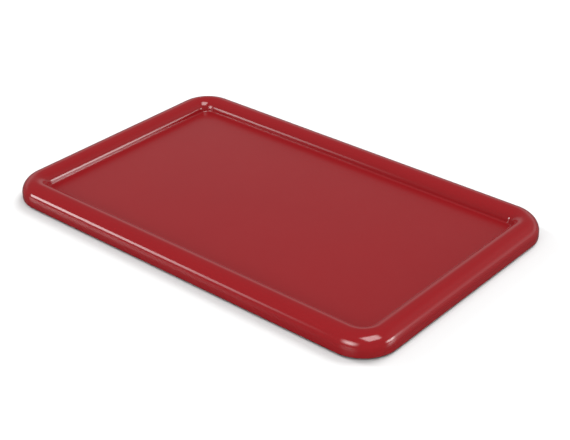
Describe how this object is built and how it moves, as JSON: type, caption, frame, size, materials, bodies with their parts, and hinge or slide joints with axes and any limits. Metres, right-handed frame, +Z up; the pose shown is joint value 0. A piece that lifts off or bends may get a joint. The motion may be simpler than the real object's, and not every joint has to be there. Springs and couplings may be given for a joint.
{
  "type": "book cart top tray",
  "caption": "Lift-off rectangular moulded tray with rounded corners, a fat hollow bead round a recessed deck, and rubber feet under the corners.",
  "frame": {"origin": "centre of the tray's footprint, on the surface that its feet stand on", "axes": "+Z up out of the deck, +X along the long side towards the right, -Y towards the front"},
  "size_m": [0.711, 0.456, 0.034],
  "materials": {
    "shell": "glossy, the deck slightly less so",
    "foot": "matte",
    "insert": "turned",
    "washer": "zinc plated",
    "screw": "zinc plated"
  },
  "bodies": {
    "root": {"tray_shell": "shell", "foot_front_left": "foot", "foot_front_right": "foot", "foot_back_left": "foot", "foot_back_right": "foot", "threaded_insert_front_left": "insert", "threaded_insert_front_right": "insert", "threaded_insert_back_left": "insert", "threaded_insert_back_right": "insert", "foot_washer_front_left": "washer", "foot_washer_front_right": "washer", "foot_washer_back_left": "washer", "foot_washer_back_right": "washer", "foot_screw_front_left": "screw", "foot_screw_front_right": "screw", "foot_screw_back_left": "screw", "foot_screw_back_right": "screw"}
  },
  "joints": []
}
